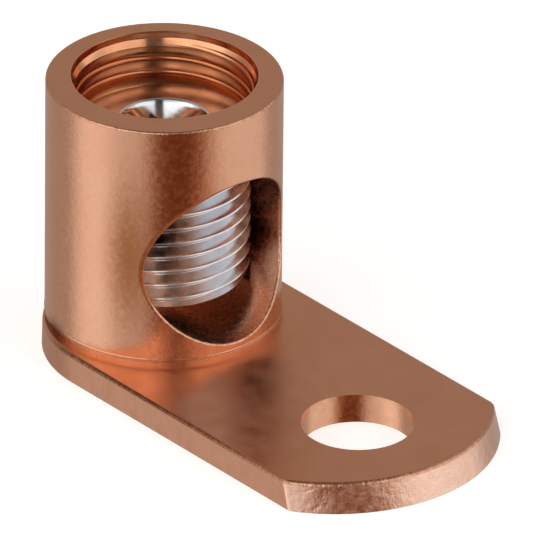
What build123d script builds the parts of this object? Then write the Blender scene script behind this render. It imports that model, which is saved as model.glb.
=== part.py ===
"""A forged copper terminal lug for one cable and one stud, with its set screw.

Frame, in millimetres: the origin is the middle of the stud hole on the underside
of the tongue, +Z is up, +X points from the barrel to the tongue's tip.
The cable port runs along X through the barrel, and the tapped bore comes down
into it from the barrel's top.
"""
import os
from math import radians, sqrt, tan

from build123d import *

# Tongue: the flat palm that a stud or bolt holds down. Its tip is an arch a little askew,
# and its heel a half-round under the barrel
TONGUE_WIDTH = 24.4
TONGUE_THICKNESS = 2.8
TONGUE_EDGE_RADIUS = 0.35
TIP_REACH = 11.44
TIP_RADIUS = 15.3
TIP_SKEW = 0.25
TIP_LEAN = 0.94
TIP_CORNER_RADIUS = 0.6
SIDE_LEAN = 0.1
HEEL_CENTRE_TO_BARREL = 1.75

# Stud hole: 13/32 inch, the clearance hole for a 3/8 inch stud
STUD_HOLE_DIAMETER = 10.32
STUD_TO_BARREL = 27.65

# Set screw: 5/8 inch with 18 threads to the inch, drawn at its major diameter
SCREW_DIAMETER = 15.875
SCREW_LENGTH = 15.26
SCREW_TOP_CHAMFER = 0.35
SCREW_TIP_TAPER = 0.45
SCREW_TIP_HEIGHT = 1.0
SCREW_TIP_GAP = 2.73

# Hexagon socket in the screw, for a 1/4 inch key
SOCKET_ACROSS_FLATS = 6.35
SOCKET_DEPTH = 6.4
SOCKET_MOUTH_WIDENING = 1.03
SOCKET_MOUTH_DEPTH = 2.0
SOCKET_TURN = 40.0
SOCKET_POINT_SLOPE = 31.0

# Barrel: the upright post round the tapped bore
THREAD_CLEARANCE = 0.06
BARREL_WALL = 2.85
BARREL_CROWN = 6.6
BARREL_EDGE_RADIUS = 0.25
ROOT_FILLET = 0.45
ROOT_BITE = 0.03

# Tapped bore: its mouth is opened by a steep chamfer, and it sits a little off the barrel's axis
BORE_SHIFT_X = -0.38
BORE_SHIFT_Y = 0.32
BORE_RUNOUT = 0.6
MOUTH_WIDENING = 0.5
MOUTH_DEPTH = 1.35

# Cable port: drilled along the tongue's direction, close above it
PORT_DIAMETER = 16.1
PORT_FLOOR = 4.05
PORT_EDGE_RADIUS = 0.22

# Sizes that follow from the ones above
bore_radius = SCREW_DIAMETER / 2 + THREAD_CLEARANCE
barrel_radius = bore_radius + BARREL_WALL
barrel_height = PORT_FLOOR + PORT_DIAMETER + BARREL_CROWN
barrel_x = -STUD_TO_BARREL
port_height = PORT_FLOOR + PORT_DIAMETER / 2
bore_x = barrel_x + BORE_SHIFT_X
bore_y = BORE_SHIFT_Y
tip_height = PORT_FLOOR + SCREW_TIP_GAP
screw_top = tip_height + SCREW_LENGTH
bore_floor = tip_height - BORE_RUNOUT
half_width = TONGUE_WIDTH / 2
heel_x = barrel_x + HEEL_CENTRE_TO_BARREL

# Screw axis, also the line that the screw travels on
screw_axis = Axis((bore_x, bore_y, 0), (0, 0, 1))
screw_plane = Plane(origin=(bore_x, bore_y, 0), x_dir=(1, 0, 0), z_dir=(0, -1, 0))


def tongue_outline(height, side_y, tip_x):
    """The tongue's plan at one height: an arched tip, straight sides and a half-round heel."""
    arc_centre = tip_x - TIP_RADIUS
    near_x = arc_centre + sqrt(TIP_RADIUS**2 - (side_y + TIP_SKEW) ** 2)
    far_x = arc_centre + sqrt(TIP_RADIUS**2 - (side_y - TIP_SKEW) ** 2)
    with BuildSketch(Plane.XY.offset(height)) as outline:
        with BuildLine():
            ThreePointArc((near_x, -side_y), (tip_x, TIP_SKEW), (far_x, side_y))
            Line((far_x, side_y), (heel_x, side_y))
            ThreePointArc((heel_x, side_y), (heel_x - side_y, 0), (heel_x, -side_y))
            Line((heel_x, -side_y), (near_x, -side_y))
        make_face()
        fillet(outline.vertices().sort_by(Axis.X)[-2:], TIP_CORNER_RADIUS)
    return outline.sketch


underside = tongue_outline(0, half_width, TIP_REACH)
upper_face = tongue_outline(TONGUE_THICKNESS, half_width - SIDE_LEAN, TIP_REACH - TIP_LEAN)

# The hollow blend where the barrel rises from the tongue. It starts a hair inside both,
# and it stops where the tongue's rounded edge begins
with BuildPart() as root_blend:
    with BuildSketch(Plane.XZ) as cove:
        with BuildLine():
            foot_x = barrel_x + barrel_radius - ROOT_BITE
            foot_z = TONGUE_THICKNESS - ROOT_BITE
            Polyline(
                (foot_x, foot_z + ROOT_FILLET),
                (barrel_x, foot_z + ROOT_FILLET),
                (barrel_x, foot_z - ROOT_FILLET),
                (foot_x + ROOT_FILLET, foot_z - ROOT_FILLET),
                (foot_x + ROOT_FILLET, foot_z),
            )
            RadiusArc(
                (foot_x + ROOT_FILLET, foot_z),
                (foot_x, foot_z + ROOT_FILLET),
                ROOT_FILLET,
            )
        make_face()
    revolve(axis=Axis((barrel_x, 0, 0), (0, 0, 1)))
    with BuildSketch(Plane.XY.offset(TONGUE_THICKNESS)) as blend_plan:
        add(upper_face)
        offset(amount=-TONGUE_EDGE_RADIUS)
    extrude(blend_plan.sketch, amount=2 * ROOT_FILLET, both=True, mode=Mode.INTERSECT)

# The tongue by itself, so that its upper rim is rounded all the way round
with BuildPart() as tongue:
    loft([underside, upper_face], ruled=True)
    fillet(tongue.faces().sort_by(Axis.Z)[-1].edges(), TONGUE_EDGE_RADIUS)

with BuildPart() as lug_body:
    # Barrel, with its top edge broken before anything is drilled
    with Locations((barrel_x, 0, 0)):
        Cylinder(barrel_radius, barrel_height, align=(Align.CENTER, Align.CENTER, Align.MIN))
    fillet(lug_body.faces().sort_by(Axis.Z)[-1].edges(), BARREL_EDGE_RADIUS)

    # Cable port, with its sharp rims rounded where they meet the barrel's outside
    with Locations(Location((barrel_x, 0, port_height), (0, 90, 0))):
        Cylinder(PORT_DIAMETER / 2, 3 * barrel_radius, mode=Mode.SUBTRACT)
    fillet(lug_body.edges().filter_by(GeomType.BSPLINE), PORT_EDGE_RADIUS)

    add(tongue.part)
    add(root_blend.part)

    # Tapped bore: plain wall at the thread's crest, widened at its mouth
    with BuildSketch(screw_plane) as bore_section:
        with BuildLine():
            Polyline(
                (0, bore_floor),
                (bore_radius, bore_floor),
                (bore_radius, barrel_height - MOUTH_DEPTH),
                (bore_radius + MOUTH_WIDENING, barrel_height),
                (0, barrel_height),
                close=True,
            )
        make_face()
    revolve(axis=screw_axis, mode=Mode.SUBTRACT)

    # Stud hole
    Hole(STUD_HOLE_DIAMETER / 2)

lug_body.part.label = "lug_body"

with BuildPart() as set_screw:
    screw_radius = SCREW_DIAMETER / 2
    with BuildSketch(screw_plane) as screw_section:
        with BuildLine():
            Polyline(
                (0, tip_height),
                (screw_radius - SCREW_TIP_TAPER, tip_height),
                (screw_radius, tip_height + SCREW_TIP_HEIGHT),
                (screw_radius, screw_top - SCREW_TOP_CHAMFER),
                (screw_radius - SCREW_TOP_CHAMFER, screw_top),
                (0, screw_top),
                close=True,
            )
        make_face()
    revolve(axis=screw_axis)

    # Hexagon socket, its drilled point and the cone that leads the key in
    with BuildSketch(Plane(origin=(bore_x, bore_y, screw_top))) as hexagon:
        RegularPolygon(SOCKET_ACROSS_FLATS / 2, 6, major_radius=False, rotation=SOCKET_TURN)
    extrude(amount=-SOCKET_DEPTH, mode=Mode.SUBTRACT)
    with BuildSketch(screw_plane) as lead_in:
        flat_radius = SOCKET_ACROSS_FLATS / 2
        socket_floor = screw_top - SOCKET_DEPTH
        with BuildLine():
            Polyline(
                (0, socket_floor - flat_radius * tan(radians(SOCKET_POINT_SLOPE))),
                (flat_radius, socket_floor),
                (flat_radius, screw_top - SOCKET_MOUTH_DEPTH),
                (flat_radius + SOCKET_MOUTH_WIDENING, screw_top),
                (0, screw_top),
                close=True,
            )
        make_face()
    revolve(axis=screw_axis, mode=Mode.SUBTRACT)

set_screw.part.label = "set_screw"

os.makedirs("parts", exist_ok=True)
export_step(lug_body.part, "parts/lug_body.step")
export_step(set_screw.part, "parts/set_screw.step")
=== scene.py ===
"""A forged copper cable lug and its set screw, dressed for a studio picture.

The pieces are modelled in millimetres in the frame of the CAD part, with the origin
in the middle of the stud hole on the underside, and come to metres when finished.
"""
import logging
import math
from dataclasses import dataclass
from enum import Enum
from typing import Callable

import bmesh
import bpy
from mathutils import Matrix, Vector


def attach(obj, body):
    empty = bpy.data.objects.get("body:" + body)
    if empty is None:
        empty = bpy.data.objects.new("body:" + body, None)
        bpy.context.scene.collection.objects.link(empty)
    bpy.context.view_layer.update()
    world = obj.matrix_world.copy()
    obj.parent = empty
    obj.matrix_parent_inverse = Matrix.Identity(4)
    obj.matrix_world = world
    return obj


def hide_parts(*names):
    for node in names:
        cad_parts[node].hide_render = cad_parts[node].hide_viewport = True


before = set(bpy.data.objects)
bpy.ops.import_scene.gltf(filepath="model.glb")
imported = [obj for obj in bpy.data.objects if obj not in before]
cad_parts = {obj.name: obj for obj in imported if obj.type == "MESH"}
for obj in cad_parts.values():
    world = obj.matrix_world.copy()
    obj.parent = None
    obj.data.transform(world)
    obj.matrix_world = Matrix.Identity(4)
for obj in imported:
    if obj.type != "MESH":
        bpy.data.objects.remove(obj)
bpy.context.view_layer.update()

LOG = logging.getLogger("cable_lug")
METRES_PER_MM = 0.001

# In millimetres: vertices closer than a weld are one, what a cut leaves thinner than a
# sliver goes, and a point this near to a surface is on it
WELD = 0.0005
SLIVER = 0.002
NEAR = 0.02

# Edges that turn by more degrees than this stay sharp
SMOOTH_UP_TO = 24.0

# Where the upright axis stands that the bore and the set screw share, in millimetres
AXIS_X = -28.03
AXIS_Y = 0.32

Piece = bpy.types.Object
Tree = bpy.types.NodeTree
Socket = bpy.types.NodeSocket
Point = tuple[float, float, float]
Section = list[tuple[float, float]]
Profile = tuple[tuple[float, float], ...]
VertexTest = Callable[[Vector], bool]
EdgeTest = Callable[[bmesh.types.BMEdge], bool]


class Join(Enum):
    """How one solid changes another."""

    ADD = "UNION"
    CUT = "DIFFERENCE"
    KEEP_COMMON = "INTERSECT"


class Along(Enum):
    """The direction that a round primitive's axis points in, as Euler angles."""

    X = (0.0, math.pi / 2, 0.0)
    Z = (0.0, 0.0, 0.0)


def on_axis(height: float) -> Point:
    """Give the point at a height on the axis of the bore and the screw."""
    return (AXIS_X, AXIS_Y, height)


# Hand tools, each one a step that is also made by hand in the modeller


def end_edit() -> None:
    """Go back to object mode."""
    bpy.ops.object.mode_set(mode="OBJECT")


def deselect_everything() -> None:
    """Leave the modeller in object mode with nothing selected."""
    if bpy.context.mode != "OBJECT":
        end_edit()
    bpy.ops.object.select_all(action="DESELECT")


def pick_up(piece: Piece) -> None:
    """Select one piece alone and make it active.

    Args:
        piece: The object to work on next.
    """
    deselect_everything()
    piece.select_set(True)
    bpy.context.view_layer.objects.active = piece


def named_active(name: str) -> Piece:
    """Name the primitive that was just added and settle its place into its mesh.

    Args:
        name: The name for the object and its mesh.

    Returns:
        The new object, at the origin, unturned and unscaled.
    """
    piece = bpy.context.active_object
    piece.name = name
    piece.data.name = name
    bpy.ops.object.transform_apply(location=True, rotation=True, scale=True)
    return piece


def add_cylinder(
    name: str, radius: float, low: Point, length: float, segments: int, along: Along = Along.Z
) -> Piece:
    """Add a closed cylinder.

    Args:
        name: Name of the object.
        radius: Radius in millimetres.
        low: Middle of the end face that the axis starts from.
        length: Length along the axis.
        segments: Number of sides.
        along: Direction of the axis.

    Returns:
        The cylinder.
    """
    deselect_everything()
    step = Vector((length / 2, 0, 0)) if along is Along.X else Vector((0, 0, length / 2))
    middle = Vector(low) + step
    bpy.ops.mesh.primitive_cylinder_add(
        vertices=segments, radius=radius, depth=length, location=middle, rotation=along.value
    )
    return named_active(name)


def add_cone(name: str, radius: float, low: Point, height: float, segments: int) -> Piece:
    """Add a closed cone that stands on its point.

    Args:
        name: Name of the object.
        radius: Radius at the upper end.
        low: The point.
        height: Height of the cone.
        segments: Number of sides.

    Returns:
        The cone.
    """
    deselect_everything()
    middle = Vector(low) + Vector((0, 0, height / 2))
    bpy.ops.mesh.primitive_cone_add(
        vertices=segments, radius1=0.0, radius2=radius, depth=height, location=middle
    )
    return named_active(name)


def edit_whole(piece: Piece) -> None:
    """Go into edit mode with the whole mesh selected.

    Args:
        piece: The mesh object to edit.
    """
    pick_up(piece)
    bpy.ops.object.mode_set(mode="EDIT")
    bpy.ops.mesh.select_mode(type="VERT")
    bpy.ops.mesh.select_all(action="SELECT")


def combine(target: Piece, tool: Piece, how: Join) -> None:
    """Join a tool solid with a target, throw the tool away and weld the slivers at the seam.

    Args:
        target: The solid that is changed.
        tool: The solid that changes it.
        how: Add, cut or keep what both share.
    """
    pick_up(target)
    modifier = target.modifiers.new(how.name.title(), "BOOLEAN")
    modifier.operation = how.value
    modifier.object = tool
    modifier.solver = "EXACT"
    bpy.ops.object.modifier_apply(modifier=modifier.name)
    bpy.data.objects.remove(tool)
    edit_whole(target)
    bpy.ops.mesh.remove_doubles(threshold=SLIVER)
    bpy.ops.mesh.select_all(action="SELECT")
    bpy.ops.mesh.dissolve_degenerate(threshold=SLIVER)
    end_edit()


def select_in_edit(
    piece: Piece,
    vertices: VertexTest | None = None,
    edges: EdgeTest | None = None,
    faces: Callable[[bmesh.types.BMFace], bool] | None = None,
) -> None:
    """Go into edit mode and select by place or direction.

    Args:
        piece: The mesh object to edit.
        vertices: Test on a vertex's place.
        edges: Test on an edge.
        faces: Test on a face.
    """
    pick_up(piece)
    bpy.ops.object.mode_set(mode="EDIT")
    kind = "VERT" if vertices else "EDGE" if edges else "FACE"
    bpy.ops.mesh.select_mode(type=kind)
    bpy.ops.mesh.select_all(action="DESELECT")
    mesh = bmesh.from_edit_mesh(piece.data)
    mesh.normal_update()
    if vertices:
        chosen = [v for v in mesh.verts if vertices(v.co)]
    elif edges:
        chosen = [e for e in mesh.edges if edges(e)]
    else:
        chosen = [f for f in mesh.faces if faces(f)]
    for element in chosen:
        element.select_set(True)
    mesh.select_flush_mode()
    bmesh.update_edit_mesh(piece.data)


def weld(piece: Piece, vertices: VertexTest, closer_than: float) -> None:
    """Make vertices one that pass a test and lie close together.

    Args:
        piece: The mesh object to edit.
        vertices: Test on a vertex's place.
        closer_than: Distance in millimetres.
    """
    select_in_edit(piece, vertices=vertices)
    bpy.ops.mesh.remove_doubles(threshold=closer_than)
    end_edit()


def is_upright(edge: bmesh.types.BMEdge) -> bool:
    """Tell whether an edge of the tongue's blank goes up through it."""
    return abs(edge.verts[0].co.z - edge.verts[1].co.z) > 1


def bevel_edges(piece: Piece, edges: EdgeTest, width: float, segments: int) -> None:
    """Round the edges that pass a test.

    Args:
        piece: The mesh object to edit.
        edges: Test on an edge.
        width: Width of the bevel on each side of the edge.
        segments: Number of steps across it.
    """
    select_in_edit(piece, edges=edges)
    bpy.ops.mesh.bevel(
        offset=width, segments=segments, profile=0.5, affect="EDGES", clamp_overlap=False
    )
    end_edit()


def trim(piece: Piece, place: Point, outward: Point) -> None:
    """Cut a solid by a plane, drop what lies outside and close the cut.

    Args:
        piece: The mesh object to edit.
        place: A point of the plane.
        outward: Direction of the side that is dropped.
    """
    edit_whole(piece)
    bpy.ops.mesh.bisect(plane_co=place, plane_no=outward, use_fill=True, clear_outer=True)
    end_edit()


def draw_section(name: str, points: Section, place: Point) -> Piece:
    """Draw half a turned section as a line of extruded points.

    Args:
        name: Name of the object.
        points: Radius and height of each corner, in order.
        place: The point that the turning axis stands on.

    Returns:
        An object whose origin is on the axis and whose mesh is the line alone.
    """
    deselect_everything()
    bpy.ops.mesh.primitive_plane_add(size=1.0, location=place)
    line = bpy.context.active_object
    line.name = name
    edit_whole(line)
    bpy.ops.mesh.merge(type="CENTER")
    bpy.ops.transform.translate(value=(points[0][0], 0, points[0][1]))
    for (r0, z0), (r1, z1) in zip(points, points[1:]):
        bpy.ops.mesh.extrude_vertices_move(TRANSFORM_OT_translate={"value": (r1 - r0, 0, z1 - z0)})
    end_edit()
    return line


def turn_section(
    name: str, points: Section, place: Point, steps: int, rise: float = 0.0, turns: int = 1
) -> Piece:
    """Turn a section about the upright axis through a point, with or without a rise.

    A closed section ends on the axis at both ends. With a rise, the line is one pitch
    high and winds up into a threaded rod, whose two open ends are drawn to the axis.

    Args:
        name: Name of the object.
        points: Radius and height of each corner, in order.
        place: The point that the turning axis stands on.
        steps: Number of steps in one turn.
        rise: Height gained in one turn.
        turns: Number of turns.

    Returns:
        A closed solid with its faces outwards.
    """
    solid = draw_section(name, points, place)
    pick_up(solid)
    winding = solid.modifiers.new("Winding", "SCREW")
    winding.axis = "Z"
    winding.angle = math.tau
    winding.screw_offset = rise
    winding.iterations = turns
    winding.steps = steps
    winding.render_steps = steps
    bpy.ops.object.modifier_apply(modifier=winding.name)
    edit_whole(solid)
    bpy.ops.mesh.remove_doubles(threshold=WELD)
    if rise:
        middle = rise * (turns + 1) / 2
        for above in (False, True):
            select_in_edit(
                solid,
                edges=lambda e: e.is_boundary
                and (e.verts[0].co.z - points[0][1] > middle) == above,
            )
            bpy.ops.mesh.extrude_edges_move()
            bpy.ops.mesh.merge(type="CENTER")
    edit_whole(solid)
    bpy.ops.mesh.normals_make_consistent(inside=False)
    end_edit()
    bpy.ops.object.transform_apply(location=True, rotation=True, scale=True)
    return solid


def shade(piece: Piece) -> None:
    """Smooth a solid over its blunt edges, with its large faces kept flat.

    Args:
        piece: The finished solid.
    """
    pick_up(piece)
    bpy.ops.object.shade_smooth_by_angle(angle=math.radians(SMOOTH_UP_TO))
    weights = piece.modifiers.new("Weights", "WEIGHTED_NORMAL")
    weights.mode = "FACE_AREA"
    weights.keep_sharp = True
    bpy.ops.object.modifier_apply(modifier=weights.name)


def round_off(piece: Piece, along: Along, axis: Point, radius: float) -> None:
    """Give the facets of a cylindrical wall the normals of the true cylinder.

    Args:
        piece: The shaded solid.
        along: Direction of the cylinder's axis.
        axis: A point of the axis.
        radius: Radius of the wall.
    """
    mesh = piece.data
    aligned = 0.999
    flatten = Vector((0, 1, 1)) if along is Along.X else Vector((1, 1, 0))
    normals = [Vector(corner.vector) for corner in mesh.corner_normals]
    for face in mesh.polygons:
        spokes = [(mesh.vertices[v].co - Vector(axis)) * flatten for v in face.vertices]
        if any(abs(spoke.length - radius) > NEAR for spoke in spokes):
            continue
        for loop, spoke in zip(face.loop_indices, spokes):
            outward = spoke.normalized()
            if abs(outward.dot(face.normal)) > aligned:
                normals[loop] = outward if outward.dot(face.normal) > 0 else -outward
    mesh.normals_split_custom_set(normals)


def to_metres(piece: Piece) -> Piece:
    """Bring a finished piece from millimetres to metres, with its place in its mesh.

    Args:
        piece: The finished piece, modelled in millimetres.

    Returns:
        The same piece, at the origin, unturned and unscaled.
    """
    pick_up(piece)
    piece.scale = (METRES_PER_MM,) * 3
    bpy.ops.object.transform_apply(location=True, rotation=True, scale=True)
    return piece


def linear_colour(hex_colour: str, level: float = 1.0) -> tuple[float, float, float, float]:
    """Turn an sRGB hex colour into the linear values that a shader takes.

    Args:
        hex_colour: Six hex digits after a hash.
        level: Brightness that the colour is multiplied by.

    Returns:
        Red, green, blue and alpha.
    """
    channels = []
    for start in (1, 3, 5):
        value = int(hex_colour[start : start + 2], 16) / 255
        linear = value / 12.92 if value <= 0.04045 else ((value + 0.055) / 1.055) ** 2.4
        channels.append(level * linear)
    return (*channels, 1.0)


def add_node(
    tree: Tree,
    kind: str,
    inputs: dict[str | int, object],
    output: str | int = 0,
    **settings: object,
) -> Socket:
    """Add a node, set it up, and link or fill its inputs.

    Args:
        tree: The node tree.
        kind: The node's type, without the word that all shader nodes start with.
        inputs: For each input, the output that feeds it or the value that it holds.
        output: The output that is used next.
        **settings: The node's own options.

    Returns:
        That output.
    """
    node = tree.nodes.new(f"ShaderNode{kind}")
    for name, value in settings.items():
        setattr(node, name, value)
    for socket, value in inputs.items():
        if isinstance(value, Socket):
            tree.links.new(value, node.inputs[socket])
        else:
            node.inputs[socket].default_value = value
    return node.outputs[output]


@dataclass(frozen=True)
class PaintedShade:
    """A place on the metal darkened by painted shade.

    Attributes:
        middle: Its middle in the part's frame, in millimetres.
        reach: How far it goes along X, Y and Z, in millimetres.
        colour: The colour at its middle.
    """

    middle: Point
    reach: Point
    colour: str

    def over(self, tree: Tree, place: Socket, ragged: Socket, colour: Socket) -> Socket:
        """Lay the painted shade over a colour.

        Args:
            tree: The node tree.
            place: The coordinates, in metres.
            ragged: A noise that frays its border.
            colour: The colour under it.

        Returns:
            The colour with the painted shade on it.
        """
        middle = tuple(METRES_PER_MM * value for value in self.middle)
        scale = tuple(1 / (METRES_PER_MM * value) for value in self.reach)
        shifted = add_node(tree, "VectorMath", {0: place, 1: middle}, operation="SUBTRACT")
        scaled = add_node(tree, "VectorMath", {0: shifted, 1: scale}, operation="MULTIPLY")
        distance = add_node(tree, "VectorMath", {0: scaled}, "Value", operation="LENGTH")
        fray = 0.5
        frayed = add_node(tree, "Math", {0: ragged, 1: fray, 2: distance}, operation="MULTIPLY_ADD")
        ends = {"From Min": fray / 2, "From Max": 1 + fray / 2, "To Min": 1.0, "To Max": 0.0}
        cover = add_node(
            tree, "MapRange", {"Value": frayed, **ends}, interpolation_type="SMOOTHSTEP"
        )
        colours = {"Factor": cover, "A": colour, "B": linear_colour(self.colour)}
        return add_node(tree, "Mix", colours, "Result", data_type="RGBA")


@dataclass(frozen=True)
class MetalFinish:
    """How a metal surface was made, and what that leaves on it.

    Attributes:
        name: What the surface is.
        clean: Colour of the clean metal.
        dull: Colour where it has tarnished.
        stain_mm: Size of the soft tarnished clouds.
        roughness: Lowest and highest roughness.
        dent_mm: Size of the soft dents.
        dent_height: Height of the dents, in millimetres.
        grain_mm: Size of the grain along X, Y and Z.
        grain_height: Height of the grain, in millimetres.
        painted_shades: Places darkened by painted shade.
    """

    name: str
    clean: str
    dull: str
    stain_mm: float
    roughness: tuple[float, float]
    dent_mm: float
    dent_height: float
    grain_mm: Point
    grain_height: float
    painted_shades: tuple[PaintedShade, ...] = ()

    def make(self) -> bpy.types.Material:
        """Make the material.

        Returns:
            The material, with its patterns in the piece's own coordinates.
        """
        material = bpy.data.materials.new(self.name)
        material.use_nodes = True
        tree = material.node_tree
        shader = tree.nodes["Principled BSDF"]
        place = add_node(tree, "TexCoord", {}, "Object")
        clouds = self.pattern(tree, place, (self.stain_mm,) * 3, 4.0)
        dents = self.pattern(tree, place, (self.dent_mm,) * 3, 2.0)
        grain = self.pattern(tree, place, self.grain_mm, 2.0)
        colours = {"Factor": clouds, "A": linear_colour(self.clean), "B": linear_colour(self.dull)}
        colour = add_node(tree, "Mix", colours, "Result", data_type="RGBA")
        # Painted shade darkens the colour at each of these places
        for painted_shade in self.painted_shades:
            colour = painted_shade.over(tree, place, dents, colour)
        tree.links.new(colour, shader.inputs["Base Color"])
        low, high = self.roughness
        # Most of a noise lies between these two values
        spread = {"From Min": 0.35, "From Max": 0.65, "To Min": low, "To Max": high}
        polish = add_node(tree, "MapRange", {"Value": dents, **spread})
        tree.links.new(polish, shader.inputs["Roughness"])
        coarse = add_node(tree, "Math", {0: dents, 1: self.dent_height}, operation="MULTIPLY")
        relief = add_node(
            tree, "Math", {0: grain, 1: self.grain_height, 2: coarse}, operation="MULTIPLY_ADD"
        )
        heights = {"Height": relief, "Distance": METRES_PER_MM, "Strength": 1.0}
        tree.links.new(add_node(tree, "Bump", heights), shader.inputs["Normal"])
        shader.inputs["Metallic"].default_value = 1.0
        return material

    @staticmethod
    def pattern(tree: Tree, place: Socket, size_mm: Point, detail: float) -> Socket:
        """Add a noise whose grains have a size in millimetres.

        Args:
            tree: The node tree.
            place: The coordinates, in metres.
            size_mm: Size of a grain along X, Y and Z.
            detail: How many finer octaves it has.

        Returns:
            The noise, from 0 to 1.
        """
        scale = tuple(1 / (METRES_PER_MM * size) for size in size_mm)
        sized = add_node(tree, "Mapping", {"Vector": place, "Scale": scale})
        octaves = {"Scale": 1.0, "Detail": detail, "Roughness": 0.55}
        return add_node(tree, "TexNoise", {"Vector": sized, **octaves})


# The finishes. Real grain and tool marks are finer than a pixel of the picture, which spans
# 0.1 mm, so they are drawn as coarse as they need to show

# Forged and tumbled copper: a satin skin with a soft leathery unevenness, with painted
# shade beside the cable port and at the barrel's foot
FORGED = MetalFinish(
    "forged_copper", "#ecb596", "#e2a482", stain_mm=6.0, roughness=(0.2, 0.3),
    dent_mm=0.5, dent_height=0.016, grain_mm=(0.55, 0.55, 0.22), grain_height=0.01,
    painted_shades=(
        # Painted shade: a brown band down the wall beside the port
        PaintedShade((-21.6, -9.1, 13.5), (3.8, 2.8, 12.5), "#b4734a"),
        # Painted shade in the corner at the barrel's foot
        PaintedShade((-30.6, -10.7, 3.0), (3.0, 1.6, 1.6), "#8a5033"),
    ),
)
# Rolled copper that has lain in store: dull from fine scuffs, with painted shade beside the barrel
ROLLED = MetalFinish(
    "rolled_copper", "#e6a886", "#d99a74", stain_mm=5.0, roughness=(0.28, 0.38),
    dent_mm=2.2, dent_height=0.012, grain_mm=(0.3, 0.3, 0.3), grain_height=0.002,
    painted_shades=(PaintedShade((-34.0, -9.6, 2.8), (8.0, 4.0, 3.0), "#8a4626"),),
)
# Sawn copper: the strip's long sides, pale with short upright marks; painted shade at the heel
SAWN = MetalFinish(
    "sawn_copper", "#e0a98a", "#d2987a", stain_mm=2.5, roughness=(0.3, 0.4),
    dent_mm=1.2, dent_height=0.02, grain_mm=(0.3, 0.3, 1.2), grain_height=0.006,
    painted_shades=(PaintedShade((-37.6, -6.0, 2.6), (5.0, 5.0, 2.0), "#a0603c"),),
)
# Sheared copper: the torn end of the tongue, bright and coarse
SHEARED = MetalFinish(
    "sheared_copper", "#fdd6c2", "#f2bfa4", stain_mm=1.5, roughness=(0.2, 0.32),
    dent_mm=0.8, dent_height=0.045, grain_mm=(0.2, 0.2, 0.25), grain_height=0.012,
)
# Drilled copper: the cable port and the stud hole, clean and a little torn by the drill,
# with painted shade where the port is deep beside the screw
DRILLED = MetalFinish(
    "drilled_copper", "#f8c0a0", "#e4a27a", stain_mm=1.5, roughness=(0.2, 0.32),
    dent_mm=0.5, dent_height=0.012, grain_mm=(0.15, 0.3, 0.3), grain_height=0.008,
    painted_shades=(PaintedShade((-23.4, 8.0, 9.6), (3.6, 3.0, 3.4), "#843a1c"),),
)
# Turned copper: the bore's glossy mouth, with rings from the tool
TURNED = MetalFinish(
    "turned_copper", "#eeb08a", "#d98f60", stain_mm=3.0, roughness=(0.12, 0.22),
    dent_mm=1.5, dent_height=0.012, grain_mm=(2.5, 2.5, 0.12), grain_height=0.002,
)
# Tapped copper: a darker, redder copy of the mouth's finish, as painted shade deep in the bore
TAPPED = MetalFinish(
    "tapped_copper", "#de9366", "#bb6b41", stain_mm=3.0, roughness=(0.14, 0.24),
    dent_mm=1.5, dent_height=0.012, grain_mm=(2.5, 2.5, 0.12), grain_height=0.002,
)
# Copper edges rubbed bright, with a fine torn burr and painted shade along the tongue's near side
RUBBED = MetalFinish(
    "rubbed_copper_edge", "#f3bda0", "#b97c58", stain_mm=0.5, roughness=(0.2, 0.32),
    dent_mm=0.5, dent_height=0.07, grain_mm=(0.16, 0.16, 0.16), grain_height=0.015,
    painted_shades=(PaintedShade((-16.0, -12.3, 2.8), (34.0, 1.6, 0.9), "#6e3a20"),),
)
# Filed copper: the lip broken by hand at the port's rim, a dull orange-brown without glints
FILED = MetalFinish(
    "filed_copper", "#e09a68", "#c07a4c", stain_mm=0.8, roughness=(0.46, 0.56),
    dent_mm=0.5, dent_height=0.02, grain_mm=(0.25, 0.25, 0.25), grain_height=0.006,
)
# Bright zinc plate on steel: a cool thin coat over the marks of thread cutting, with painted
# shade beside the port's rim
ZINC = MetalFinish(
    "bright_zinc_plate", "#eceef2", "#cfced2", stain_mm=2.0, roughness=(0.16, 0.26),
    dent_mm=0.9, dent_height=0.008, grain_mm=(1.8, 1.8, 0.09), grain_height=0.002,
    painted_shades=(PaintedShade((-22.3, -5.4, 14.6), (3.6, 3.0, 5.0), "#1e1614"),),
)
# Zinc plate over the pressed socket: smooth, close to a mirror
PRESSED_ZINC = MetalFinish(
    "pressed_zinc_plate", "#e4e6e6", "#d4d6d9", stain_mm=2.0, roughness=(0.1, 0.16),
    dent_mm=0.9, dent_height=0.004, grain_mm=(0.5, 0.5, 0.5), grain_height=0.001,
)


class Region(Enum):
    """The surfaces of the copper body, each with its own finish."""

    SKIN = FORGED
    FLAT = ROLLED
    SIDE = SAWN
    TIP = SHEARED
    DRILLED = DRILLED
    TURNED = TURNED
    EDGE = RUBBED
    TAPPED = TAPPED
    LIP = FILED


@dataclass(frozen=True)
class ThreadForm:
    """A screw thread with 18 turns to the inch.

    Attributes:
        depth: Height of the ridges.
        phase: Height of a ridge's middle over the frame's origin, on the +X side, in pitches.
        outline: One ridge from root to root, as shares of the pitch and of the depth.
        pitch: Height gained in one turn.
    """

    depth: float
    phase: float
    outline: Profile
    pitch: float = 25.4 / 18

    def rod_section(self, crest_radius: float, low: float) -> Section:
        """Give one pitch of a rod's outline, from root to root.

        Args:
            crest_radius: Radius over the ridges.
            low: A height that the rod has to start below.

        Returns:
            Radius and height of each corner, rising by one pitch.
        """
        root_radius = crest_radius - self.depth
        start = (math.floor(low / self.pitch - self.phase) - 1.5 + self.phase) * self.pitch
        return [
            (root_radius + self.depth * height, start + self.pitch * along)
            for along, height in self.outline
        ]


# A full 60 degree thread with narrow flats, as cut on the screw
SCREW_THREAD = ThreadForm(
    depth=0.95,
    phase=0.64,
    outline=(
        (0.0, 0.0), (0.03, 0.02), (0.42, 0.95), (0.445, 1.0), (0.495, 1.0), (0.56, 0.955),
        (0.6, 0.87), (0.97, 0.02), (1.0, 0.0),
    ),
)

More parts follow.
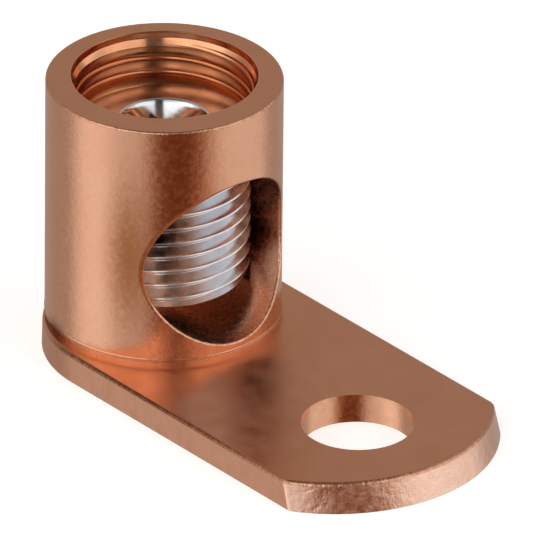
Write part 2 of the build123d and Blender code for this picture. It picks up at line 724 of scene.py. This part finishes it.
# The bore's thread: shallow hollows between narrow ridges, worn by the screw
BORE_THREAD = ThreadForm(
    depth=0.24,
    phase=0.17,
    outline=(
        (0.0, 0.0), (0.04, 0.38), (0.1, 0.7), (0.2, 0.9), (0.35, 1.0), (0.55, 1.0),
        (0.78, 0.85), (0.92, 0.55), (0.97, 0.25), (1.0, 0.0),
    ),
)


@dataclass
class LugBody:
    """The copper forging: a tongue with a stud hole and a barrel with two crossing bores.

    Sizes are in millimetres and angles in degrees. The main sizes are those of the CAD
    part. The bead, the lip, the mouth's recess and the thread are finer than it goes.

    Attributes:
        foot_bead: The fine groove and bead at the barrel's foot: how far each corner
            stands out from the wall, and its height over the bead's middle.
        lip_middle: Where the lip is widest, round the port's axis from straight up.
        lip_spread: How far the lip goes from there to each side.
        rim_stations: Shares of the way over the port's rim that its rings lie at.
    """

    tongue_half_width: float = 12.2
    tongue_thickness: float = 2.8
    tip_reach: float = 11.44
    tip_radius: float = 15.3
    tip_skew: float = 0.25
    tip_lean: float = 0.94
    tip_corner: float = 0.3
    side_lean: float = 0.1
    heel_x: float = -25.9
    top_edge: float = 0.35
    bottom_edge: float = 0.1
    stud_radius: float = 5.16
    barrel_x: float = -27.65
    barrel_radius: float = 10.8475
    barrel_height: float = 26.75
    barrel_edge: float = 0.25
    bead_height: float = 3.36
    foot_bead: Profile = (
        (0.0, -0.24), (-0.05, -0.2), (-0.05, -0.13), (0.03, -0.07), (0.045, 0.0), (0.02, 0.07),
        (0.0, 0.14),
    )
    bore_radius: float = 7.9975
    bore_floor: float = 6.18
    mouth_radius: float = 8.4975
    mouth_depth: float = 1.35
    mouth_recess: float = 0.65
    port_radius: float = 8.05
    port_height: float = 12.1
    port_edge: float = 0.22
    lip_depth: float = 0.44
    lip_width: float = 0.56
    lip_middle: float = -62.0
    lip_spread: float = 80.0
    rim_stations: tuple[float, ...] = (0.0, 0.15, 0.3, 0.45, 0.6, 0.75, 0.88)
    thread_low: float = 19.9
    thread: ThreadForm = BORE_THREAD
    arch_steps: int = 384
    heel_steps: int = 48
    barrel_steps: int = 256
    port_steps: int = 224
    mouth_steps: int = 224
    bore_steps: int = 144
    stud_steps: int = 160
    body: str = "lug"
    node: str = "lug_body"
    slot: str = "copper"

    def shoulder(self, side: float) -> float:
        """Find where the tip's arch meets one of the tongue's sides.

        Args:
            side: -1 for the side towards -Y, 1 for the other.

        Returns:
            The shoulder's place along X, on the underside.
        """
        across = self.tongue_half_width - side * self.tip_skew
        return self.tip_reach - self.tip_radius + math.sqrt(self.tip_radius**2 - across**2)

    def blank(self) -> Piece:
        """Cut the tongue's flat blank: an arched tip, straight sides and a half-round heel.

        Returns:
            The blank, with sharp edges.
        """
        side = self.tongue_half_width
        centre = self.tip_reach - self.tip_radius
        rear = self.heel_x - side
        plate = add_cylinder(
            "tongue",
            self.tip_radius,
            (centre, self.tip_skew, 0),
            self.tongue_thickness,
            self.arch_steps,
        )
        trim(plate, (0, side, 0), (0, 1, 0))
        trim(plate, (0, -side, 0), (0, -1, 0))
        trim(plate, (centre, 0, 0), (-1, 0, 0))
        select_in_edit(plate, faces=lambda f: f.normal.x < -0.9)
        bpy.ops.mesh.extrude_region_move(TRANSFORM_OT_translate={"value": (rear - centre, 0, 0)})
        # The two quarter rounds of the heel stop a hair short of each other and are welded
        hair = 0.005
        bevel_edges(
            plate,
            lambda e: is_upright(e) and e.verts[0].co.x < rear + NEAR,
            side - hair,
            self.heel_steps,
        )
        weld(plate, lambda p: p.x < rear + NEAR, 4 * hair)
        return plate

    def tongue(self) -> Piece:
        """Make the tongue, with its leaning tip and its rounded upper rim.

        Returns:
            The tongue, still without its stud hole.
        """
        plate = self.blank()
        side = self.tongue_half_width
        shoulders = (self.shoulder(-1), self.shoulder(1))
        tip_starts = shoulders[0] - 1
        # Short facets of the arch beside its corners go, because the bevel would fold over them
        weld(plate, lambda p: p.x > tip_starts, 0.06)
        select_in_edit(
            plate,
            edges=lambda e: is_upright(e)
            and 0.02 < e.verts[0].co.x - min(shoulders) < 1.2
            and 0.01 < side - abs(e.verts[0].co.y) < 0.42,
        )
        bpy.ops.mesh.dissolve_edges(use_verts=True)
        bevel_edges(
            plate,
            lambda e: is_upright(e)
            and min(abs(e.verts[0].co.x - shoulder) for shoulder in shoulders) < 4 * NEAR
            and abs(e.verts[0].co.y) > side - 4 * NEAR,
            self.tip_corner,
            6,
        )
        select_in_edit(plate, vertices=lambda p: p.z > 1 and p.x > tip_starts)
        bpy.ops.transform.translate(value=(-self.tip_lean, 0, 0))
        select_in_edit(plate, vertices=lambda p: p.z > 1)
        bpy.ops.transform.resize(
            value=(1, 1 - self.side_lean / side, 1), center_override=(0, 0, self.tongue_thickness)
        )
        rims = ((self.tongue_thickness, self.top_edge, 4), (0.0, self.bottom_edge, 2))
        for height, width, steps in rims:
            bevel_edges(
                plate,
                lambda e: all(abs(corner.co.z - height) < NEAR / 2 for corner in e.verts),
                width,
                steps,
            )
        return plate

    def barrel(self) -> Piece:
        """Turn the barrel, with a groove and bead over its foot and a broken top edge.

        Returns:
            The post, not yet drilled.
        """
        wall = self.barrel_radius
        section: Section = [(0, 0), (wall - self.bottom_edge, 0), (wall, self.bottom_edge)]
        section += [(wall + out, self.bead_height + up) for out, up in self.foot_bead]
        steps = 5
        for step in range(steps + 1):
            turn = math.radians(90 * step / steps)
            out = wall - self.barrel_edge * (1 - math.cos(turn))
            section.append((out, self.barrel_height - self.barrel_edge * (1 - math.sin(turn))))
        section.append((0, self.barrel_height))
        return turn_section("barrel", section, (self.barrel_x, 0, 0), self.barrel_steps)

    def on_skin(self, reach: float, around: float) -> Vector:
        """Find a point on the barrel's outside, from the port's axis.

        Args:
            reach: Distance from the port's axis.
            around: Angle round the port's axis, from straight up.

        Returns:
            The point, on the tongue's side of the barrel.
        """
        across = reach * math.sin(around)
        forward = math.sqrt(self.barrel_radius**2 - across**2)
        return Vector((forward, across, reach * math.cos(around)))

    def lip_share(self, around: float) -> float:
        """Tell how far the port's rim is broken to a broad lip: 1 at its upper left, 0 opposite."""
        turn = (around - math.radians(self.lip_middle)) / math.radians(self.lip_spread)
        return math.cos(math.pi / 2 * turn) ** 2 if abs(turn) < 1 else 0.0

    def rim_point(self, around: float, share: float) -> Vector:
        """Find a point on the rim where the cable port opens.

        The rim is the path of a ball that touches the port's wall and the barrel's outside,
        and at the upper left it widens to a sloping lip.

        Args:
            around: Angle round the port's axis, from straight up.
            share: 0 on the port's wall, 1 on the barrel's outside.

        Returns:
            The point, on the tongue's side of the barrel.
        """
        reach = self.port_radius + self.port_edge
        across = reach * math.sin(around)
        inner = self.barrel_radius - self.port_edge
        forward = math.sqrt(inner**2 - across**2)
        ball = Vector((forward, across, reach * math.cos(around)))
        to_wall = Vector((0, -math.sin(around), -math.cos(around)))
        to_skin = Vector((forward, across, 0)).normalized()
        rounded = ball + self.port_edge * to_wall.slerp(to_skin, share)
        tip = self.on_skin(self.port_radius, around)
        wall = tip - Vector((self.lip_depth, 0, 0))
        skin = self.on_skin(self.port_radius + self.lip_width, around)
        rest = 1 - share
        lip = (
            rest**3 * wall
            + 3 * rest**2 * share * wall.lerp(tip, 0.5)
            + 3 * rest * share**2 * skin.lerp(tip, 0.6)
            + share**3 * skin
        )
        return rounded.lerp(lip, self.lip_share(around))

    def port_cutter(self) -> Piece:
        """Make the cutter for the cable port, flared at both ends for the rounded rims.

        Returns:
            The cutter, longer than the barrel is wide.
        """
        # Past its last ring on the rim, the flare goes straight on for this far
        flare = 0.6
        stations = self.rim_stations
        rings = 2 * (len(stations) + 2)
        half = rings // 2
        cutter = add_cylinder(
            "port_cutter", self.port_radius, (0, 0, 0), 1.0, self.port_steps, Along.X
        )
        for ring in range(1, rings - 1):
            edit_whole(cutter)
            bpy.ops.mesh.bisect(plane_co=(ring / (rings - 1), 0, 0), plane_no=(1, 0, 0))
        end_edit()
        for vertex in cutter.data.vertices:
            ring = round(vertex.co.x * (rings - 1))
            rank = ring - half if ring >= half else half - 1 - ring
            around = math.atan2(vertex.co.y, vertex.co.z)
            if rank < len(stations):
                place = self.rim_point(around, stations[rank])
            else:
                last = self.rim_point(around, stations[-1])
                before = self.rim_point(around, stations[-1] - 0.02)
                place = last + (last - before).normalized() * flare
                if rank > len(stations):
                    place.x = self.barrel_radius + 2
            if ring < half:
                place.x = -place.x
            vertex.co = place + Vector((self.barrel_x, 0, self.port_height))
        cutter.data.update()
        return cutter

    def tap(self) -> Piece:
        """Make the tap: a threaded rod that leaves the bore's thread in the wall.

        Returns:
            The rod, cut off level at both ends.
        """
        height = self.barrel_height + 3 - self.thread_low
        rod = turn_section(
            "tap",
            self.thread.rod_section(self.bore_radius + self.thread.depth, self.thread_low),
            on_axis(0),
            self.bore_steps,
            self.thread.pitch,
            math.ceil(height / self.thread.pitch) + 3,
        )
        low = on_axis(self.thread_low)
        reach = add_cylinder("tap_reach", self.bore_radius + 4, low, height, 64)
        combine(rod, reach, Join.KEEP_COMMON)
        return rod

    def bore_drill(self) -> Piece:
        """Make the drill for the plain bore, which goes down into the cable port.

        Returns:
            The drill, which stands out over the barrel.
        """
        low = on_axis(self.bore_floor)
        length = self.barrel_height + 2 - self.bore_floor
        return add_cylinder("bore_drill", self.bore_radius, low, length, self.bore_steps)

    def mouth_cutter(self) -> Piece:
        """Make the cutter for the bore's mouth: a short straight recess over a chamfer.

        Returns:
            The cutter, which stands out over the barrel.
        """
        wide = self.mouth_radius
        top = self.barrel_height
        chamfer_top = top - self.mouth_recess
        chamfer_low = top - self.mouth_depth
        slope = (wide - self.bore_radius) / (chamfer_top - chamfer_low)
        over = 0.6
        low = chamfer_low - over
        broken = 0.12
        section: Section = [
            (0, low),
            (self.bore_radius - slope * over, low),
            (wide - broken / 2, chamfer_top - broken / 2 / slope),
            (wide - 0.02, chamfer_top + 0.02),
            (wide, chamfer_top + 0.1),
            (wide, top - broken),
            (wide + 0.03, top - 0.03),
            (wide + broken, top + 0.03),
            (wide + broken, top + 1),
            (0, top + 1),
        ]
        return turn_section("mouth_cutter", section, on_axis(0), self.mouth_steps)

    def region(self, face: bpy.types.MeshPolygon) -> Region:
        """Tell which surface of the body a face belongs to.

        Args:
            face: A face of the finished mesh, in millimetres.

        Returns:
            Its region.
        """
        x, y, z = face.center
        from_bore = math.hypot(x - AXIS_X, y - AXIS_Y)
        from_port = math.hypot(y, z - self.port_height)
        from_barrel = math.hypot(x - self.barrel_x, y)
        outward = face.normal.x * (x - self.barrel_x) + face.normal.y * y
        # The middle of a facet lies this far inside its round at most
        facet = 0.06
        skin = self.barrel_radius - facet
        palm = self.tongue_thickness
        level = 0.97
        over_bead = z > self.bead_height + 2 * facet
        if abs(face.normal.z) > level and (z < NEAR or abs(z - palm) < 2 * NEAR):
            return Region.FLAT
        if z > self.barrel_height - NEAR and face.normal.z > level:
            return Region.FLAT
        if math.hypot(x, y) < self.stud_radius + NEAR:
            return Region.DRILLED
        # Below the mouth, the thread takes the darker finish: painted shade deep in the bore
        if z > self.thread_low - 0.5 and from_bore < self.mouth_radius + 0.15:
            return Region.TURNED if z > self.barrel_height - self.mouth_depth else Region.TAPPED
        if z > self.barrel_height - self.barrel_edge - NEAR:
            return Region.EDGE
        if over_bead and from_barrel > skin and outward > 0.99 * from_barrel:
            return Region.SKIN
        off_wall = over_bead and from_port > self.port_radius + NEAR / 2
        if off_wall and from_barrel > skin - self.lip_depth:
            around = math.atan2(y, z - self.port_height)
            return Region.LIP if self.lip_share(around) > 0.3 else Region.EDGE
        if over_bead and from_barrel < skin:
            return Region.DRILLED
        if from_barrel < self.barrel_radius + facet and z > palm - NEAR / 2:
            return Region.SKIN
        if from_barrel < self.barrel_radius + 0.1 and outward > 0.9 * from_barrel:
            return Region.SIDE
        if z > palm - self.top_edge - NEAR:
            return Region.EDGE
        return Region.TIP if x > self.shoulder(-1) - 0.6 else Region.SIDE

    def dress(self, forging: Piece) -> None:
        """Give each surface of the body its finish.

        Args:
            forging: The finished mesh, in millimetres.
        """
        forging.data.materials.clear()
        for region in Region:
            forging.data.materials.append(region.value.make())
        order = list(Region)
        for face in forging.data.polygons:
            face.material_index = order.index(self.region(face))

    def build(self) -> Piece:
        """Forge, drill and tap the body.

        Returns:
            The finished mesh, in metres.
        """
        forging = self.barrel()
        forging.name = "copper_lug_body"
        combine(forging, self.port_cutter(), Join.CUT)
        combine(forging, self.tongue(), Join.ADD)
        combine(forging, self.bore_drill(), Join.CUT)
        combine(forging, self.tap(), Join.CUT)
        combine(forging, self.mouth_cutter(), Join.CUT)
        through = self.tongue_thickness + 2
        drill = add_cylinder("stud_drill", self.stud_radius, (0, 0, -1), through, self.stud_steps)
        combine(forging, drill, Join.CUT)
        shade(forging)
        self.dress(forging)
        round_off(forging, Along.Z, (self.barrel_x, 0, 0), self.barrel_radius)
        round_off(forging, Along.X, (0, 0, self.port_height), self.port_radius)
        return to_metres(forging)


@dataclass
class SetScrew:
    """The steel set screw: a hexagon socket in the top and a flat tip below.

    Sizes are in millimetres and angles in degrees, as in the CAD part.
    """

    radius: float = 7.9375
    tip: float = 6.78
    top: float = 22.04
    top_chamfer: float = 0.35
    tip_taper: float = 0.45
    tip_height: float = 1.0
    socket_flats: float = 6.35
    socket_depth: float = 6.4
    socket_mouth: float = 4.205
    socket_mouth_depth: float = 2.0
    socket_turn: float = 40.0
    point_slope: float = 31.0
    thread: ThreadForm = SCREW_THREAD
    thread_steps: int = 160
    lead_in_steps: int = 128
    point_steps: int = 96
    body: str = "screw"
    node: str = "set_screw"
    slot: str = "zinc_plated_steel"

    def rod(self) -> Piece:
        """Wind the threaded rod that the screw is cut from.

        Returns:
            The rod, longer than the screw at both ends.
        """
        return turn_section(
            "set_screw_threaded",
            self.thread.rod_section(self.radius, self.tip),
            on_axis(0),
            self.thread_steps,
            self.thread.pitch,
            math.ceil((self.top - self.tip) / self.thread.pitch) + 4,
        )

    def blank(self) -> Piece:
        """Turn the screw's plain outline, with its chamfered top and tapered tip.

        Returns:
            The outline, a hair wider than the thread.
        """
        clear = 0.05
        wide = self.radius + clear
        section: Section = [
            (0, self.tip),
            (self.radius - self.tip_taper, self.tip),
            (wide, self.tip + self.tip_height * (1 + clear / self.tip_taper)),
            (wide, self.top - self.top_chamfer - clear),
            (self.radius - self.top_chamfer, self.top),
            (0, self.top),
        ]
        return turn_section("screw_blank", section, on_axis(0), self.thread_steps)

    def socket(self) -> Piece:
        """Make the punch for the hexagon socket.

        Returns:
            The punch, which stands out over the screw.
        """
        corner = self.socket_flats / 2 / math.cos(math.radians(30))
        low = on_axis(self.top - self.socket_depth)
        punch = add_cylinder("socket", corner, low, self.socket_depth + 1, 6)
        edit_whole(punch)
        turn = -math.radians(self.socket_turn + 30)
        bpy.ops.transform.rotate(value=turn, orient_axis="Z", center_override=on_axis(0))
        end_edit()
        return punch

    def lead_in(self) -> Piece:
        """Make the cutter for the cone that leads the key in, with a rounded brim.

        Returns:
            The cutter, which stands out over the screw.
        """
        flat = self.socket_flats / 2
        mouth = self.socket_mouth
        slope = (mouth - flat) / self.socket_mouth_depth
        over = 0.3
        brim = 0.42
        top = self.top
        low = top - self.socket_mouth_depth - over
        section: Section = [
            (0, low),
            (flat - slope * over, low),
            (mouth - slope * brim, top - brim),
            (mouth - slope * brim + 0.11, top - 0.24),
            (mouth, top - 0.1),
            (mouth + 0.15, top - 0.02),
            (mouth + 0.3, top + 0.01),
            (mouth + 0.3, top + 1),
            (0, top + 1),
        ]
        return turn_section("lead_in", section, on_axis(0), self.lead_in_steps)

    def drill_point(self) -> Piece:
        """Make the cone that the drill left under the socket.

        Returns:
            The cone, which reaches a little up into the socket.
        """
        flat = self.socket_flats / 2
        depth = flat * math.tan(math.radians(self.point_slope))
        low = on_axis(self.top - self.socket_depth - depth)
        over = 0.2
        wide = flat + over * flat / depth
        return add_cone("drill_point", wide, low, depth + over, self.point_steps)

    def dress(self, screw: Piece) -> None:
        """Give the thread and the pressed socket their finishes.

        Args:
            screw: The finished mesh, in millimetres.
        """
        screw.data.materials.clear()
        for finish in (ZINC, PRESSED_ZINC):
            screw.data.materials.append(finish.make())
        for face in screw.data.polygons:
            x, y, z = face.center
            from_axis = math.hypot(x - AXIS_X, y - AXIS_Y)
            face.material_index = int(z > self.tip + 2 and from_axis < self.socket_mouth)

    def build(self) -> Piece:
        """Thread the screw and sink its socket.

        Returns:
            The finished mesh, in metres.
        """
        screw = self.rod()
        combine(screw, self.blank(), Join.KEEP_COMMON)
        for cutter in (self.socket, self.lead_in, self.drill_point):
            combine(screw, cutter(), Join.CUT)
        shade(screw)
        self.dress(screw)
        return to_metres(screw)


@dataclass(frozen=True)
class SoftPanel:
    """A softbox that the metal mirrors, given by its directions round the object.

    Attributes:
        azimuth: Direction of its middle from the +X axis, in degrees.
        elevation: Height of its middle over the horizon, in degrees.
        half_width: Half of its width, in degrees.
        half_height: Half of its height, in degrees.
        blur: Width of its soft border, in degrees.
        level: Its brightness.
        tint: Its colour.
    """

    azimuth: float
    elevation: float
    half_width: float
    half_height: float
    blur: float
    level: float
    tint: str = "#ffffff"

    def cover(self, tree: Tree, around: Socket, above: Socket) -> Socket:
        """Add the nodes that say how much of the panel a direction meets.

        Args:
            tree: The world's node tree.
            around: The direction's azimuth, in radians.
            above: The direction's elevation, in radians.

        Returns:
            0 outside the panel, 1 inside it.
        """
        covers = []
        for angle, middle, half in (
            (around, self.azimuth, self.half_width),
            (above, self.elevation, self.half_height),
        ):
            centred = {0: angle, 1: math.radians(middle)}
            offset = add_node(tree, "Math", centred, operation="SUBTRACT")
            wrapped = add_node(tree, "Math", {0: offset, 1: math.pi, 2: -math.pi}, operation="WRAP")
            border = {
                "Value": add_node(tree, "Math", {0: wrapped}, operation="ABSOLUTE"),
                "From Min": math.radians(half - self.blur / 2),
                "From Max": math.radians(half + self.blur / 2),
                "To Min": 1.0,
                "To Max": 0.0,
            }
            covers.append(add_node(tree, "MapRange", border, interpolation_type="SMOOTHSTEP"))
        return add_node(tree, "Math", {0: covers[0], 1: covers[1]}, operation="MULTIPLY")


@dataclass(frozen=True)
class Studio:
    """A pale table, a dim room and two tall softboxes, one on each side of the camera."""

    room_level: float = 0.42
    room_tint: str = "#fff4ec"
    table_size: float = 4.0
    table_glow: float = 0.6

    def panels(self) -> list[SoftPanel]:
        """List the softboxes and their bright bands, the dark ceiling, a dark gap and a warm floor.

        Returns:
            The panels, each laid over those before it.
        """
        front = Viewpoint.azimuth
        return [
            SoftPanel(front - 46, 0, 48, 62, 26, 0.68),
            SoftPanel(front - 72, 0, 20, 60, 30, 1.0),
            SoftPanel(front + 73, 0, 43, 62, 20, 0.8),
            SoftPanel(front - 38, 10, 40, 10, 8, 1.1),
            SoftPanel(front + 70, 10, 46, 10, 8, 1.05),
            SoftPanel(front - 38, 28, 40, 12, 8, 1.5),
            SoftPanel(front + 52, 28, 28, 12, 8, 1.2),
            SoftPanel(front, 90, 181, 26, 12, 0.14, "#ffe6d4"),
            SoftPanel(front + 15, 40, 11, 40, 6, 0.05),
            SoftPanel(front + 16, 8, 21, 14, 16, 0.44, "#ffe0c8"),
            SoftPanel(front + 16, -46, 32, 54, 26, 0.4, "#ffc094"),
            SoftPanel(front + 14, -46, 22, 54, 20, 0.14, "#ff9242"),
        ]

    def light(self) -> None:
        """Light the scene with the room and its softboxes."""
        world = bpy.data.worlds.new("studio")
        bpy.context.scene.world = world
        world.use_nodes = True
        tree = world.node_tree
        toward = add_node(tree, "TexCoord", {}, "Generated")
        east, north, up = add_node(tree, "SeparateXYZ", {"Vector": toward}).node.outputs
        around = add_node(tree, "Math", {0: north, 1: east}, operation="ARCTAN2")
        above = add_node(tree, "Math", {0: up}, operation="ARCSINE")
        seen: object = linear_colour(self.room_tint, self.room_level)
        for panel in self.panels():
            cover = panel.cover(tree, around, above)
            colours = {"Factor": cover, "A": seen, "B": linear_colour(panel.tint, panel.level)}
            seen = add_node(tree, "Mix", colours, "Result", data_type="RGBA")
        tree.links.new(seen, tree.nodes["Background"].inputs["Color"])

    def table(self) -> None:
        """Lay the pale table. The metal mirrors the softboxes and not the table."""
        deselect_everything()
        bpy.ops.mesh.primitive_plane_add(size=self.table_size)
        table = bpy.context.active_object
        table.name = "studio_table"
        paper = bpy.data.materials.new("white_paper")
        paper.use_nodes = True
        shader = paper.node_tree.nodes["Principled BSDF"]
        shader.inputs["Base Color"].default_value = linear_colour("#f2f2f2")
        shader.inputs["Roughness"].default_value = 0.9
        shader.inputs["Specular IOR Level"].default_value = 0.0
        shader.inputs["Emission Color"].default_value = linear_colour("#ffffff")
        shader.inputs["Emission Strength"].default_value = self.table_glow
        table.data.materials.append(paper)
        table.visible_glossy = False
        table.visible_shadow = False


@dataclass(frozen=True)
class Viewpoint:
    """The camera's place, fitted to the photograph: a long lens from 1.6 m away."""

    azimuth: float = -40.11
    elevation: float = 28.352
    roll: float = 0.585
    distance: float = 1.6
    target: Point = (-0.017036, 0.00381, 0.010)
    lens: float = 1171.864
    sensor: float = 36.0

    def place(self) -> None:
        """Put the camera in the scene and make it the scene's own."""
        turn = math.radians(self.azimuth)
        rise = math.radians(self.elevation)
        tilt = math.radians(self.roll)
        level_share = math.cos(rise)
        back = Vector((math.cos(turn) * level_share, math.sin(turn) * level_share, math.sin(rise)))
        level = Vector((-math.sin(turn), math.cos(turn), 0))
        upright = back.cross(level)
        right = math.cos(tilt) * level + math.sin(tilt) * upright
        up = -math.sin(tilt) * level + math.cos(tilt) * upright
        data = bpy.data.cameras.new("studio_camera")
        data.lens = self.lens
        data.sensor_width = self.sensor
        data.clip_start = 0.05
        data.clip_end = 20
        camera = bpy.data.objects.new("studio_camera", data)
        bpy.context.scene.collection.objects.link(camera)
        turned = Matrix((right, up, back)).transposed().to_4x4()
        turned.translation = Vector(self.target) + self.distance * back
        camera.matrix_world = turned
        bpy.context.scene.camera = camera


def main() -> None:
    """Build every piece, dress it and set up the studio."""
    logging.basicConfig(level=logging.INFO, format="%(message)s")
    for maker in (LugBody(), SetScrew()):
        piece = maker.build()
        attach(piece, maker.body)
        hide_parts(maker.node)
        LOG.info("%s: %d faces", piece.name, len(piece.data.polygons))
    studio = Studio()
    studio.light()
    studio.table()
    Viewpoint().place()
    bpy.context.scene.view_settings.view_transform = "Standard"


if __name__ == "__main__":
    main()
